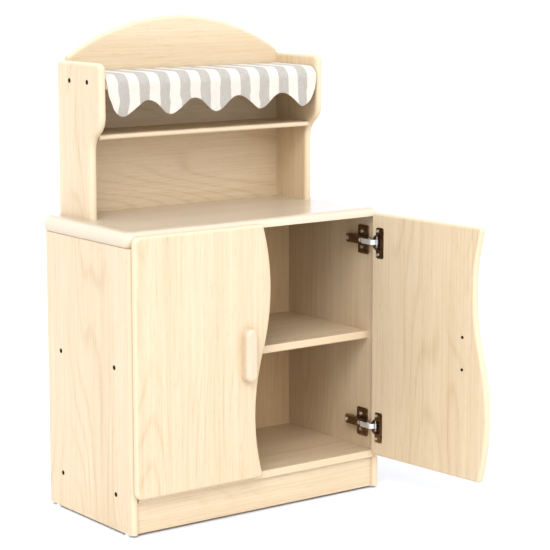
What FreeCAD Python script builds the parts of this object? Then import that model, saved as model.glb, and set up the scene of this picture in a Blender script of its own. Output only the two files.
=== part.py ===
"""Toy kitchen dresser: a two-door cupboard with a plate rack and a striped awning above it.

Millimetres, +Z up, -Y is the front.  Every piece is drawn in the cupboard's own frame: X from the
middle of its width, Y from the front edges of its sides, Z from the floor.  The finished pieces are
then moved together, so that the origin is the middle of the footprint with the right door open.
"""
import FreeCAD, Part
import math
import os

import Sketcher

# Driving dimensions: name in the sheet, value, what it is.
DIMENSIONS = [
    ("base_width", 600, "outside width of the cupboard"),
    ("base_depth", 303, "depth of the cupboard's sides"),
    ("panel", 16, "thickness of every board that is not named below"),
    ("bullnose", 7.9, "radius on both edges of a rounded board, just under half its thickness"),
    ("glide_height", 5, "gap under the sides"),
    ("glide_radius", 7.5, "nylon glide"),
    ("glide_inset", 24, "glide's centre from the front or back edge of a side"),
    ("nail_radius", 1.2, "nail of a glide"),
    ("nail_bite", 12, "how deep the nail goes into the side"),
    ("base_top", 551, "top of the cupboard's sides, under the worktop's thicker ends"),
    ("low_shelf_top", 82, "top face of the cupboard's floor"),
    ("mid_shelf_top", 328, "top face of the cupboard's shelf"),
    ("mid_shelf_front", 20, "setback of that shelf"),
    ("low_shelf_front", 1, "setback of the cupboard's floor"),
    ("plinth_front", 8, "setback of the plinth"),
    ("shelf_round", 3, "radius on a shelf's front edges"),
    ("worktop_top", 582, "height of the worktop"),
    ("worktop_nose", 18, "radius of the worktop's rolled edge"),
    ("worktop_overhang", 3.5, "beyond each side of the cupboard"),
    ("worktop_corner", 20, "radius of the worktop's front corners in plan"),
    ("rack_width", 534, "outside width of the plate rack"),
    ("rack_top", 883, "top of the rack's sides"),
    ("rack_front_low", 185, "front of a rack side below its bend"),
    ("rack_front_high", 148, "front of a rack side above its bend"),
    ("bend_low", 712, "lower end of that bend"),
    ("bend_high", 782, "upper end of that bend"),
    ("rack_corner", 14, "radius of a rack side's top front corner"),
    ("arch_end", 892, "height of the rack's back at its ends"),
    ("arch_top", 965, "height of the rack's back in the middle"),
    ("rack_shelf_top", 746, "top face of the rack's shelf"),
    ("rack_shelf_thick", 10, "its thickness"),
    ("rack_shelf_front", 176, "its front edge"),
    ("rack_shelf_round", 4.5, "radius on its front edges"),
    ("canopy_top", 858, "top face of the awning's board"),
    ("canopy_thick", 24, "its thickness"),
    ("canopy_front", 152, "its front edge"),
    ("canopy_round", 20, "radius of its top front edge"),
    ("cloth_gap", 1.6, "between the board and the cloth, filled by the hook and loop strips"),
    ("cloth_thick", 1.2, "awning cloth with its lining"),
    ("cloth_width", 499, "width of the awning cloth"),
    ("cloth_back", 284, "back edge of the awning cloth"),
    ("hem_level", 795, "mean height of the scalloped hem"),
    ("hem_rise", 14, "how far a lobe hangs below that level, and an arch rises above it"),
    ("hem_corner", 55, "from that level to where the cloth's rounded lower corners end"),
    ("hem_corner_bulge", 7.5, "how far those corners stand out from their chord"),
    ("lobes", 5, "lobes along the hem"),
    ("lobe_pitch", 106.6, "between their middles"),
    ("lobe_width", 44, "width of a lobe at the mean level"),
    ("hem_shift", 2, "middle lobe from the middle of the cupboard"),
    ("strip_length", 470, "hook and loop strips"),
    ("strip_width", 20, "their width"),
    ("strip_inset", 4, "their back edge from the back edge of the cloth"),
    ("door_gap", 2, "between a closed door and the cupboard"),
    ("door_low", 76, "bottom edge of the doors"),
    ("door_high", 575, "top edge of the doors"),
    ("door_inset", 1.5, "door's hinge edge from the outside of the cupboard"),
    ("door_corner", 14, "radius of a door's two hinge-side corners"),
    ("door_tip", 7, "radius of a door's two meeting-side corners"),
    ("door_round", 6, "radius round both faces of a door"),
    ("wave_centre", -3.5, "mean place of the wavy line where the doors meet"),
    ("wave_rise", 18.5, "how far that line swings to each side"),
    ("wave_gap", 4, "gap between the doors"),
    ("handle_place", 45, "handle's centre from the middle of the cupboard"),
    ("handle_length", 105, "handle, with fully round ends"),
    ("handle_width", 28, "its width"),
    ("handle_depth", 20, "how far it stands off the door"),
    ("handle_corner", 13.9, "radius of its ends, just under half its width"),
    ("handle_round", 8, "radius round its front face"),
    ("handle_screw_pitch", 64, "between a handle's two screws"),
    ("handle_screw", 2, "radius of those screws"),
    ("handle_screw_length", 28, "their length"),
    ("handle_screw_head", 2.7, "radius of their small round heads"),
    ("hinge_low", 136, "height of the lower hinges"),
    ("hinge_high", 515, "height of the upper hinges"),
    ("plate_front", 17, "front edge of a mounting plate"),
    ("plate_depth", 33, "its size front to back"),
    ("plate_height", 58, "its height"),
    ("plate_thick", 3, "its thickness"),
    ("plate_screw_place", 37, "its screws from the front"),
    ("tongue_width", 9, "width of the plate's tongue under the arm"),
    ("tongue_end", 77, "back end of that tongue"),
    ("plate_screw_pitch", 32, "between its screws"),
    ("plate_screw", 2, "radius of its screws"),
    ("plate_screw_length", 14, "their length"),
    ("plate_corner", 4, "radius of its corners, and of the cup's ears"),
    ("plate_edge", 0.8, "radius round its outer face"),
    ("plate_spare_hole", 1.8, "radius of its two spare holes"),
    ("plate_spare_place", 24, "spare holes from the front"),
    ("plate_spare_pitch", 42, "between them"),
    ("tongue_front", 26, "front end of the tongue"),
    ("arm_pin_out", 10, "arm's pin from the cupboard's side"),
    ("arm_pin_back", 5, "arm's pin from the front"),
    ("arm_rise", 14, "arm's outer face from the cupboard's side"),
    ("arm_end", 78, "back end of the arm"),
    ("arm_width", 16.4, "arm's width up and down"),
    ("arm_channel", 11.4, "width of the channel under the arm"),
    ("arm_web", 2, "thickness of the arm's outer wall"),
    ("arm_nose", 3.5, "radius of the arm round its pin"),
    ("arm_foot", 21, "front end of the arm's foot on the plate"),
    ("arm_taper", 8, "length of the slope at the arm's back end"),
    ("arm_step", 3, "its height"),
    ("arm_channel_end", 64, "back end of the channel"),
    ("fork_depth", 10, "depth of the slot in the arm's back end"),
    ("arm_screw", 2.4, "radius of the arm's screws"),
    ("arm_screw_front", 29, "the adjusting screw from the front"),
    ("arm_screw_back", 72, "the fixing screw from the front"),
    ("cup_place", 19.6, "cup's centre from the door's hinge edge"),
    ("cup_radius", 15.6, "hinge cup"),
    ("cup_bore", 14.1, "radius of its hollow"),
    ("cup_depth", 12.5, "depth in the door"),
    ("cup_floor", 0.8, "thickness of its floor"),
    ("flange_thick", 1, "flange on the door's inner face"),
    ("flange_radius", 16.1, "round part of the flange"),
    ("ear_front", -4.5, "near edge of the flange's ears, from the cup's centre"),
    ("ear_back", 16, "far edge of the ears"),
    ("ear_height", 62, "from the top of one ear to the bottom of the other"),
    ("cup_screw_pitch", 48, "between the cup's two screws"),
    ("cup_screw", 1.75, "radius of the cup's screws"),
    ("cup_screw_length", 11, "their length"),
    ("cup_pin_place", 10, "cup's pin from the door's hinge edge"),
    ("cup_pin_depth", 6.5, "cup's pin below the door's inner face"),
    ("cup_pin_length", 21.8, "cup's pin, let into the cup's wall at both ends"),
    ("pin_radius", 1.25, "hinge pins"),
    ("pin_clearance", 0.05, "between a pin and the link that turns on it"),
    ("link_turn", 35.5, "degrees a link turns as its door opens fully"),
    ("door_turn", 95, "degrees a door turns as it opens fully"),
    ("link_width", 10.4, "link's width up and down"),
    ("link_thick", 1.8, "thickness of the bent plate that the link is made of"),
    ("link_eye", 2.7, "radius of the link round a pin"),
    ("link_bend", 10.35, "radius of the link's bend over the cup's rim, at the middle of its thickness"),
    ("link_slope", 12, "degrees between the link's straight part and the line through its pins"),
    ("link_tail", 16, "how far the straight part runs back past the arm's pin"),
    ("screw_head", 4.75, "head radius of the screws through the side boards"),
    ("screw_shank", 3.2, "their shank radius"),
    ("screw_length", 46, "their length"),
    ("screw_head_depth", 3, "thickness of their heads"),
    ("hex_radius", 2.6, "hexagonal socket in such a head, at its corners"),
    ("hex_depth", 2.5, "its depth"),
    ("pan_height", 1.5, "height of a small screw's round head"),
    ("pan_share", 1.85, "its radius, as a share of the shank's"),
    ("recess_share", 0.4, "its drive recess, as a share of the head's radius"),
    ("dowel_radius", 4, "wooden dowel"),
    ("dowel_length", 30, "its length"),
    ("dowel_bite", 10, "how deep it goes into a board's face"),
    ("small_dowel_radius", 2.5, "dowel of the rack's shelf"),
    ("stand_x", -12.5, "middle of the cupboard from the middle of the footprint"),
    ("stand_y", 9.5, "front of the cupboard from the middle of the footprint"),
]

DOC = FreeCAD.newDocument("toy_kitchen")
SHEET = DOC.addObject("Spreadsheet::Sheet", "Sizes")
NODES = []
X_AXIS = FreeCAD.Vector(1, 0, 0)
Y_AXIS = FreeCAD.Vector(0, 1, 0)
Z_AXIS = FreeCAD.Vector(0, 0, 1)


class Size:
    """A length that carries both its value and the sheet expression that gives it."""

    def __init__(self, value, text):
        self.value = value
        self.text = text

    def joined(self, other, sign, value):
        return Size(value, f"({self.text} {sign} {as_size(other).text})")

    def __add__(self, other):
        return self.joined(other, "+", self.value + as_size(other).value)

    def __sub__(self, other):
        return self.joined(other, "-", self.value - as_size(other).value)

    def __mul__(self, other):
        return self.joined(other, "*", self.value * as_size(other).value)

    def __truediv__(self, other):
        return self.joined(other, "/", self.value / as_size(other).value)

    def __neg__(self):
        return Size(-self.value, f"(0 - {self.text})")


def as_size(number):
    """A Size as it is, or a plain number as a Size."""
    if isinstance(number, Size):
        return number
    return Size(number, str(number))


def square_root(size):
    return Size(math.sqrt(size.value), f"sqrt({size.text})")


class Sizes:
    """The sheet's cells, by name."""


def fill_sheet():
    """Write the driving dimensions to the sheet and give back their Sizes."""
    for row, (name, value, meaning) in enumerate(DIMENSIONS, start=1):
        SHEET.set(f"A{row}", str(value))
        SHEET.setAlias(f"A{row}", name)
        SHEET.set(f"B{row}", meaning)
        setattr(Sizes, name, Size(value, f"Sizes.{name}"))
    DOC.recompute()
    return Sizes


S = fill_sheet()
HALF_BASE = S.base_width / 2
HALF_RACK = S.rack_width / 2
BACK_FACE = S.base_depth - S.panel
INSIDE = HALF_BASE - S.panel
RACK_INSIDE = HALF_RACK - S.panel
TOP_UNDERSIDE = S.worktop_top - S.panel
DOOR_MIDDLE = (S.door_low + S.door_high) / 2


# ---------------------------------------------------------------- drawing helpers

def new_body(name):
    return DOC.addObject("PartDesign::Body", name)


def sketch_on(body, plane, offset):
    """An empty sketch on one of the body's own planes, moved along that plane's normal."""
    sketch = body.newObject("Sketcher::SketchObject", body.Name + "_sketch")
    origin_plane = [item for item in body.Origin.OriginFeatures if item.Role == plane][0]
    sketch.AttachmentSupport = [(origin_plane, "")]
    sketch.MapMode = "FlatFace"
    sketch.setExpression("AttachmentOffset.Base.z", as_size(offset).text)
    return sketch


def bind_point(sketch, edge, end, point):
    """Fix one end of a sketch edge at a point made of two Sizes."""
    for kind, size in zip(("DistanceX", "DistanceY"), point):
        size = as_size(size)
        index = sketch.addConstraint(Sketcher.Constraint(kind, -1, 1, edge, end, size.value))
        sketch.setExpression(f"Constraints[{index}]", size.text)


def arc_radius(start, finish, rise):
    """Radius of the arc between two points that rises so far from its chord."""
    across = as_size(finish[0]) - start[0]
    along = as_size(finish[1]) - start[1]
    chord_squared = across * across + along * along
    return (chord_squared / 4 + rise * rise) / (rise * 2)


def add_edge(sketch, start, finish, bulge):
    """Add a line, or an arc whose bulge is (rise, 1 to the right of travel or -1 to the left)."""
    first = FreeCAD.Vector(as_size(start[0]).value, as_size(start[1]).value, 0)
    last = FreeCAD.Vector(as_size(finish[0]).value, as_size(finish[1]).value, 0)
    if bulge is None:
        edge = sketch.addGeometry(Part.LineSegment(first, last))
        return edge, 1, 2
    rise, side = bulge
    travel = (last - first).normalize()
    outward = FreeCAD.Vector(travel.y, -travel.x, 0) * side
    crown = (first + last) / 2 + outward * rise.value
    edge = sketch.addGeometry(Part.Arc(first, crown, last))
    radius = arc_radius(start, finish, rise)
    index = sketch.addConstraint(Sketcher.Constraint("Radius", edge, radius.value))
    sketch.setExpression(f"Constraints[{index}]", radius.text)
    starts_first = (sketch.getPoint(edge, 1) - first).Length < 1e-6
    return (edge, 1, 2) if starts_first else (edge, 2, 1)


def outline(sketch, corners, bulges=None):
    """Draw a closed loop through the corners; bulges gives the arcs by the index of their first corner."""
    bulges = bulges or {}
    count = len(corners)
    edges = []
    for index, start in enumerate(corners):
        finish = corners[(index + 1) % count]
        edges.append(add_edge(sketch, start, finish, bulges.get(index)))
    for index, (edge, head, tail) in enumerate(edges):
        following, next_head, _ = edges[(index + 1) % count]
        sketch.addConstraint(Sketcher.Constraint("Coincident", edge, tail, following, next_head))
        bind_point(sketch, edge, head, corners[index])


def circle(sketch, centre, radius):
    middle = FreeCAD.Vector(as_size(centre[0]).value, as_size(centre[1]).value, 0)
    edge = sketch.addGeometry(Part.Circle(middle, Z_AXIS, radius.value))
    bind_point(sketch, edge, 3, centre)
    index = sketch.addConstraint(Sketcher.Constraint("Radius", edge, radius.value))
    sketch.setExpression(f"Constraints[{index}]", radius.text)


def rectangle(low, high):
    """Corners of an upright rectangle between two points."""
    return [(low[0], low[1]), (high[0], low[1]), (high[0], high[1]), (low[0], high[1])]


def pad(body, sketch, length):
    """Raise a sketch along its plane's normal."""
    feature = body.newObject("PartDesign::Pad", body.Name + "_pad")
    feature.Profile = sketch
    feature.setExpression("Length", as_size(length).text)
    DOC.recompute()
    return feature


def pocket(body, sketch, depth):
    """Cut a sketch against its plane's normal, and make sure that it cut something."""
    before = body.Shape.Volume
    feature = body.newObject("PartDesign::Pocket", body.Name + "_pocket")
    feature.Profile = sketch
    feature.setExpression("Length", as_size(depth).text)
    DOC.recompute()
    if body.Shape.Volume > before - 0.01:
        raise RuntimeError(f"{feature.Name} cuts nothing")
    return feature


def round_edges(body, radius, wanted):
    """Fillet the edges of the body for which wanted(edge) is true."""
    base = body.Tip
    names = [f"Edge{i}" for i, edge in enumerate(base.Shape.Edges, start=1) if wanted(edge)]
    feature = body.newObject("PartDesign::Fillet", body.Name + "_round")
    feature.Base = (base, names)
    feature.setExpression("Radius", as_size(radius).text)
    DOC.recompute()
    return feature


def lies_at(edge, **places):
    """True where the whole edge lies at the given x, y or z."""
    box = edge.BoundBox
    limits = {"x": (box.XMin, box.XMax), "y": (box.YMin, box.YMax), "z": (box.ZMin, box.ZMax)}
    return all(abs(end - place) < 0.01 for axis, place in places.items() for end in limits[axis])


def is_long(edge, axis):
    """True for an edge that runs along an axis, not for the small ones round its ends."""
    box = edge.BoundBox
    return {"x": box.XLength, "y": box.YLength, "z": box.ZLength}[axis] > 1


def board(name, low, high):
    """A plain board between two corners, each of three Sizes."""
    body = new_body(name)
    sketch = sketch_on(body, "XY_Plane", low[2])
    outline(sketch, rectangle(low[:2], high[:2]))
    pad(body, sketch, as_size(high[2]) - low[2])
    return body


def rod(name, radius, length, place, direction):
    """A cylinder that starts at a point (three Sizes) and runs along a direction."""
    item = DOC.addObject("Part::Cylinder", name)
    item.setExpression("Radius", as_size(radius).text)
    item.setExpression("Height", as_size(length).text)
    item.Placement = FreeCAD.Placement(
        FreeCAD.Vector(*[as_size(size).value for size in place]),
        FreeCAD.Rotation(Z_AXIS, direction),
    )
    for axis, size in zip("xyz", place):
        item.setExpression(f"Placement.Base.{axis}", as_size(size).text)
    return item


def moved(point, direction, distance):
    """A point of three Sizes, moved so far along a direction."""
    return tuple(as_size(size) + distance * share for size, share in zip(point, direction))


def group(name, items):
    """Several separate solids as one object."""
    compound = DOC.addObject("Part::Compound", name)
    compound.Links = items
    return compound


def cut(name, base, tools):
    """The base with every tool's shape taken out of it."""
    result = DOC.addObject("Part::Cut", name)
    result.Base = base
    result.Tool = group(name + "_holes", tools)
    return result


def fuse(name, items):
    result = DOC.addObject("Part::MultiFuse", name)
    result.Shapes = items
    return result


# ---------------------------------------------------------------- places and poses

STAND = FreeCAD.Placement(FreeCAD.Vector(S.stand_x.value, S.stand_y.value, 0), FreeCAD.Rotation())


def at(x, y, z, rotation=None):
    """A placement in the cupboard's frame."""
    point = FreeCAD.Vector(as_size(x).value, as_size(y).value, as_size(z).value)
    return FreeCAD.Placement(point, rotation or FreeCAD.Rotation())


def turned_about(point, degrees):
    """The placement that turns things about an upright axis through a point."""
    turn = FreeCAD.Placement(FreeCAD.Vector(), FreeCAD.Rotation(Z_AXIS, degrees))
    return at(*point).multiply(turn).multiply(at(*point).inverse())


def cup_pin(side):
    """Where a closed door's hinge pins are; side is -1 on the left and 1 on the right."""
    across = (HALF_BASE - S.door_inset - S.cup_pin_place) * side
    return (across, -S.door_gap - S.cup_pin_depth, 0)


def arm_pin(side):
    """Where the pins in a side's hinge arms are."""
    return ((INSIDE - S.arm_pin_out) * side, S.arm_pin_back, 0)


def link_span():
    """How far a closed link reaches outward and forward from its arm's pin."""
    outward = S.arm_pin_out + S.panel - S.door_inset - S.cup_pin_place
    forward = S.arm_pin_back + S.door_gap + S.cup_pin_depth
    return outward, forward


def open_link_pose(side):
    """Moves a side's links from closed to fully open."""
    return turned_about(arm_pin(side), -side * S.link_turn.value)


def open_door_pose(side):
    """Moves a side's door from closed to fully open."""
    carried = open_link_pose(side)
    own_turn = side * (S.door_turn.value + S.link_turn.value)
    return carried.multiply(turned_about(cup_pin(side), own_turn))


REST_DOOR_POSE = {-1: FreeCAD.Placement(), 1: open_door_pose(1)}
REST_LINK_POSE = {-1: FreeCAD.Placement(), 1: open_link_pose(1)}
SIDE_NAMES = {-1: "left", 1: "right"}
LEVELS = {"upper": S.hinge_high, "lower": S.hinge_low}


def placed(item, frame):
    """A piece in a frame of its own, as an object that can join a group."""
    carrier = group(item.Name + "_placed", [item])
    carrier.Placement = frame
    return carrier


def node(item, label, pose=None):
    """Register a finished sub-part; pose moves it from the closed cupboard to where it rests."""
    item.Label = label
    item.Placement = STAND.multiply(pose or FreeCAD.Placement()).multiply(item.Placement)
    NODES.append(item)


# ---------------------------------------------------------------- screws, dowels and glides

def side_rotation(side):
    """Turns a piece drawn for the left side, about the front-to-back axis, to the given side."""
    return FreeCAD.Rotation(Y_AXIS, 180 if side > 0 else 0)


def pan_screw(name, start, inward, radius, length, head_radius=None):
    """A screw with a round head on a surface, as (solid for its hole, screw with its recess)."""
    head_radius = head_radius or radius * S.pan_share
    shank = rod(name + "_shank", radius, length, start, inward)
    head = rod(name + "_head", head_radius, S.pan_height, start, -inward)
    whole = fuse(name + "_whole", [shank, head])
    middle = moved(start, -inward, S.pan_height / 2)
    recess = rod(name + "_recess", head_radius * S.recess_share, S.pan_height, middle, -inward)
    return whole, cut(name, whole, [recess])


def confirmat(name, side, outside, y, z):
    """A flush cabinet screw through a side board, as (solid for its hole, screw with hex socket)."""
    inward = X_AXIS * -side
    start = (outside * side, y, z)
    head = rod(name + "_head", S.screw_head, S.screw_head_depth, start, inward)
    shank = rod(name + "_shank", S.screw_shank, S.screw_length, start, inward)
    whole = fuse(name + "_whole", [head, shank])
    socket = DOC.addObject("Part::Prism", name + "_socket")
    socket.Polygon = 6
    socket.setExpression("Circumradius", S.hex_radius.text)
    socket.setExpression("Height", S.hex_depth.text)
    socket.Placement = at(*start, FreeCAD.Rotation(Z_AXIS, inward))
    return whole, cut(name, whole, [socket])


def screws_through(side_name, side, outside, places):
    """Confirmat screws at several (y, z) places of one side board."""
    pairs = []
    for index, (y, z) in enumerate(places):
        pairs.append(confirmat(f"{side_name}_screw_{index}", side, outside, y, z))
    return [whole for whole, _ in pairs], [finished for _, finished in pairs]


def dowels_across(name, side, joint, places, radius=None):
    """Dowels that join the end of a board to the inner face of an upright one, at (y, z) places."""
    found = []
    for index, (y, z) in enumerate(places):
        start = (joint * side + (S.dowel_bite * side), y, z)
        label = f"{name}_dowel_{SIDE_NAMES[side]}_{index}"
        found.append(rod(label, radius or S.dowel_radius, S.dowel_length, start, X_AXIS * -side))
    return found


def dowels_up(name, joint, places):
    """Dowels that stand in the top edge of a board and bite into the board above, at (x, y) places."""
    return [
        rod(f"{name}_dowel_{index}", S.dowel_radius, S.dowel_length, (x, y, joint + S.dowel_bite), -Z_AXIS)
        for index, (x, y) in enumerate(places)
    ]


def dowels_down(name, joint, places):
    """Dowels that stand in the bottom edge of a board and bite into the board below."""
    return [
        rod(f"{name}_dowel_{index}", S.dowel_radius, S.dowel_length, (x, y, joint - S.dowel_bite), Z_AXIS)
        for index, (x, y) in enumerate(places)
    ]


def glide(name, x, y):
    """A nylon glide with its nail."""
    sole = rod(name + "_sole", S.glide_radius, S.glide_height, (x, y, 0), Z_AXIS)
    nail = rod(name + "_nail", S.nail_radius, S.glide_height + S.nail_bite, (x, y, 0), Z_AXIS)
    return nail, fuse(name, [sole, nail])


# ---------------------------------------------------------------- cupboard

LOW_SHELF_MIDDLE = S.low_shelf_top - S.panel / 2
MID_SHELF_MIDDLE = S.mid_shelf_top - S.panel / 2
BACK_MIDDLE = S.base_depth - S.panel / 2
PLINTH_MIDDLE = S.plinth_front + S.panel / 2
CANOPY_MIDDLE = S.canopy_top - S.canopy_thick / 2
RACK_SHELF_MIDDLE = S.rack_shelf_top - S.rack_shelf_thick / 2

# Where the screws and dowels are: y, z or x, from the cupboard's front, floor or middle.
SHELF_SCREW_Y = (57, 253)
CANOPY_SCREW_Y = (194, 259)
PLINTH_DOWEL_Z = (22, 48)
BASE_BACK_DOWEL_Z = (160, 400, 520)
RACK_BACK_DOWEL_Z = (620, 700, 840)
RACK_SHELF_DOWEL_Y = (200, 262)
WORKTOP_DOWEL_Y = (50, 150, 250)
WORKTOP_DOWEL_X = (-150, 150)
RACK_FOOT_DOWEL_Y = (215, 275)
RACK_FOOT_DOWEL_X = (-200, 0, 200)


def fasteners_of_side(found, side, word):
    """The screws, dowels and glides of one side of the cupboard and of the rack."""
    shelf_places = [(y, z) for z in (LOW_SHELF_MIDDLE, MID_SHELF_MIDDLE) for y in SHELF_SCREW_Y]
    found["base_holes", side], screws = screws_through(f"base_{word}", side, HALF_BASE, shelf_places)
    found["base_screws"] += screws
    canopy_places = [(y, CANOPY_MIDDLE) for y in CANOPY_SCREW_Y]
    found["canopy_holes", side], screws = screws_through(f"canopy_{word}", side, HALF_RACK, canopy_places)
    found["canopy_screws"] += screws
    plinth_places = [(PLINTH_MIDDLE, z) for z in PLINTH_DOWEL_Z]
    found["plinth", side] = dowels_across("plinth", side, INSIDE, plinth_places)
    base_places = [(BACK_MIDDLE, z) for z in BASE_BACK_DOWEL_Z]
    found["base_back", side] = dowels_across("base_back", side, INSIDE, base_places)
    rack_places = [(BACK_MIDDLE, z) for z in RACK_BACK_DOWEL_Z]
    found["rack_back", side] = dowels_across("rack_back", side, RACK_INSIDE, rack_places)
    shelf_places = [(y, RACK_SHELF_MIDDLE) for y in RACK_SHELF_DOWEL_Y]
    found["rack_shelf", side] = dowels_across(
        "rack_shelf", side, RACK_INSIDE, shelf_places, S.small_dowel_radius
    )
    side_middle = (HALF_BASE - S.panel / 2) * side
    top_places = [(side_middle, y) for y in WORKTOP_DOWEL_Y]
    found["worktop_side", side] = dowels_up(f"worktop_{word}", S.base_top, top_places)
    foot_places = [((HALF_RACK - S.panel / 2) * side, y) for y in RACK_FOOT_DOWEL_Y]
    found["rack_foot", side] = dowels_down(f"rack_foot_{word}", S.worktop_top, foot_places)
    for place, y in (("front", S.glide_inset), ("back", S.base_depth - S.glide_inset)):
        nail, whole = glide(f"glide_{word}_{place}", side_middle, y)
        found["glide_nails"].append((side, nail))
        found["glides"].append(whole)


def make_fasteners():
    """Every screw, dowel and glide of the fixed boards, sorted by the boards that they pierce."""
    found = {"glides": [], "glide_nails": [], "base_screws": [], "canopy_screws": []}
    for side, word in SIDE_NAMES.items():
        fasteners_of_side(found, side, word)
    top_places = [(x, BACK_MIDDLE) for x in WORKTOP_DOWEL_X]
    found["worktop_back"] = dowels_up("worktop_back", TOP_UNDERSIDE, top_places)
    foot_places = [(x, BACK_MIDDLE) for x in RACK_FOOT_DOWEL_X]
    found["rack_back_foot"] = dowels_down("rack_back_foot", S.worktop_top, foot_places)
    return found


def both_sides(found, key):
    return found[key, -1] + found[key, 1]


def base_side(side, found, plate_holes):
    """A cupboard side: an upright board with a bullnosed front edge."""
    word = SIDE_NAMES[side]
    body = new_body(f"base_{word}_board")
    low_x = HALF_BASE - S.panel if side > 0 else -HALF_BASE
    sketch = sketch_on(body, "YZ_Plane", low_x)
    outline(sketch, rectangle((0, S.glide_height), (S.base_depth, S.base_top)))
    pad(body, sketch, S.panel)
    round_edges(body, S.bullnose, lambda edge: lies_at(edge, y=0) and is_long(edge, "z"))
    nails = [nail for where, nail in found["glide_nails"] if where == side]
    tools = found["base_holes", side] + found["plinth", side] + found["base_back", side]
    tools += found["worktop_side", side] + nails + plate_holes
    node(cut(f"base_{word}_cut", body, tools), f"base_{word}_side")


def shelf_board(name, front, back, top, thick, half, radius):
    """A level board between two sides, with its front edges rounded."""
    body = board(name, (-half, front, top - thick), (half, back, top))
    place = as_size(front).value
    round_edges(body, radius, lambda edge: lies_at(edge, y=place) and is_long(edge, "x"))
    return body


def make_cupboard(found, plate_holes):
    for side in SIDE_NAMES:
        base_side(side, found, plate_holes[side])
    low = (-INSIDE, BACK_FACE, S.low_shelf_top)
    back = board("base_back_board", low, (INSIDE, S.base_depth, TOP_UNDERSIDE))
    node(cut("base_back_cut", back, both_sides(found, "base_back") + found["worktop_back"]), "base_back")
    screws = both_sides(found, "base_holes")
    floor = shelf_board(
        "base_floor_board", S.low_shelf_front, S.base_depth, S.low_shelf_top, S.panel, INSIDE, S.shelf_round
    )
    node(cut("base_floor_cut", floor, screws), "base_bottom_shelf")
    shelf = shelf_board(
        "base_shelf_board", S.mid_shelf_front, BACK_FACE, S.mid_shelf_top, S.panel, INSIDE, S.shelf_round
    )
    node(cut("base_shelf_cut", shelf, screws), "base_middle_shelf")
    plinth_low = (-INSIDE, S.plinth_front, S.glide_height)
    plinth_high = (INSIDE, S.plinth_front + S.panel, S.low_shelf_top - S.panel)
    plinth = board("plinth_board", plinth_low, plinth_high)
    node(cut("plinth_cut", plinth, both_sides(found, "plinth")), "plinth")
    make_worktop(found)


def make_worktop(found):
    """A board with a rolled edge on three sides, twice as thick at its ends, over the cupboard's sides."""
    half = HALF_BASE + S.worktop_overhang
    full_roll = S.worktop_nose * 2
    low = (-half, 0, S.worktop_top - full_roll)
    body = board("worktop_board", low, (half, S.base_depth, S.worktop_top))
    round_edges(body, S.worktop_corner, lambda edge: lies_at(edge, y=0) and is_long(edge, "z"))
    levels = (S.worktop_top.value, (S.worktop_top - full_roll).value)
    back = S.base_depth.value
    round_edges(
        body, S.worktop_nose - 0.05,
        lambda edge: any(lies_at(edge, z=level) for level in levels) and not lies_at(edge, y=back),
    )
    trim = sketch_on(body, "XY_Plane", S.base_top)
    outline(trim, rectangle((-half - 1, -1), (half + 1, S.base_depth + 1)))
    pocket(body, trim, full_roll)
    between_ends = sketch_on(body, "XY_Plane", TOP_UNDERSIDE)
    outline(between_ends, rectangle((-INSIDE, -1), (INSIDE, S.base_depth + 1)))
    pocket(body, between_ends, full_roll)
    tools = both_sides(found, "worktop_side") + found["worktop_back"]
    tools += both_sides(found, "rack_foot") + found["rack_back_foot"]
    node(cut("worktop_cut", body, tools), "worktop")


# ---------------------------------------------------------------- plate rack

def s_bend(start, middle, finish):
    """Corners and arcs of an S that leaves and arrives upright."""
    across = as_size(start[0]) - middle[0]
    up = as_size(middle[1]) - start[1]
    chord = square_root(across * across + up * up)
    rise = chord * (chord - up) / (across * 2)
    return [start, middle, finish], rise


def rack_side(side, found):
    """A rack side: its front edge steps forward in an S, and its top front corner is round."""
    word = SIDE_NAMES[side]
    body = new_body(f"rack_{word}_board")
    low_x = HALF_RACK - S.panel if side > 0 else -HALF_RACK
    bend_middle = ((S.rack_front_low + S.rack_front_high) / 2, (S.bend_low + S.bend_high) / 2)
    bend, rise = s_bend(
        (S.rack_front_low, S.bend_low), bend_middle, (S.rack_front_high, S.bend_high)
    )
    corners = [(S.base_depth, S.worktop_top), (S.rack_front_low, S.worktop_top)] + bend
    corners += [(S.rack_front_high, S.rack_top), (S.base_depth, S.rack_top)]
    sketch = sketch_on(body, "YZ_Plane", low_x)
    outline(sketch, corners, {2: (rise, 1), 3: (rise, -1)})
    pad(body, sketch, S.panel)
    front = S.rack_front_high.value
    top = S.rack_top.value
    round_edges(body, S.rack_corner, lambda edge: lies_at(edge, y=front, z=top))
    round_edges(body, S.bullnose, lambda edge: runs_along_rim(edge, low_x.value))
    tools = found["canopy_holes", side] + found["rack_back", side]
    tools += found["rack_shelf", side] + found["rack_foot", side]
    node(cut(f"rack_{word}_cut", body, tools), f"hutch_{word}_side")


def runs_along_rim(edge, low_x):
    """True for the edges round the front and top of a rack side's two faces."""
    on_face = lies_at(edge, x=low_x) or lies_at(edge, x=low_x + S.panel.value)
    at_foot = lies_at(edge, z=S.worktop_top.value)
    at_back = lies_at(edge, y=S.base_depth.value)
    return on_face and not at_foot and not at_back


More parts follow.
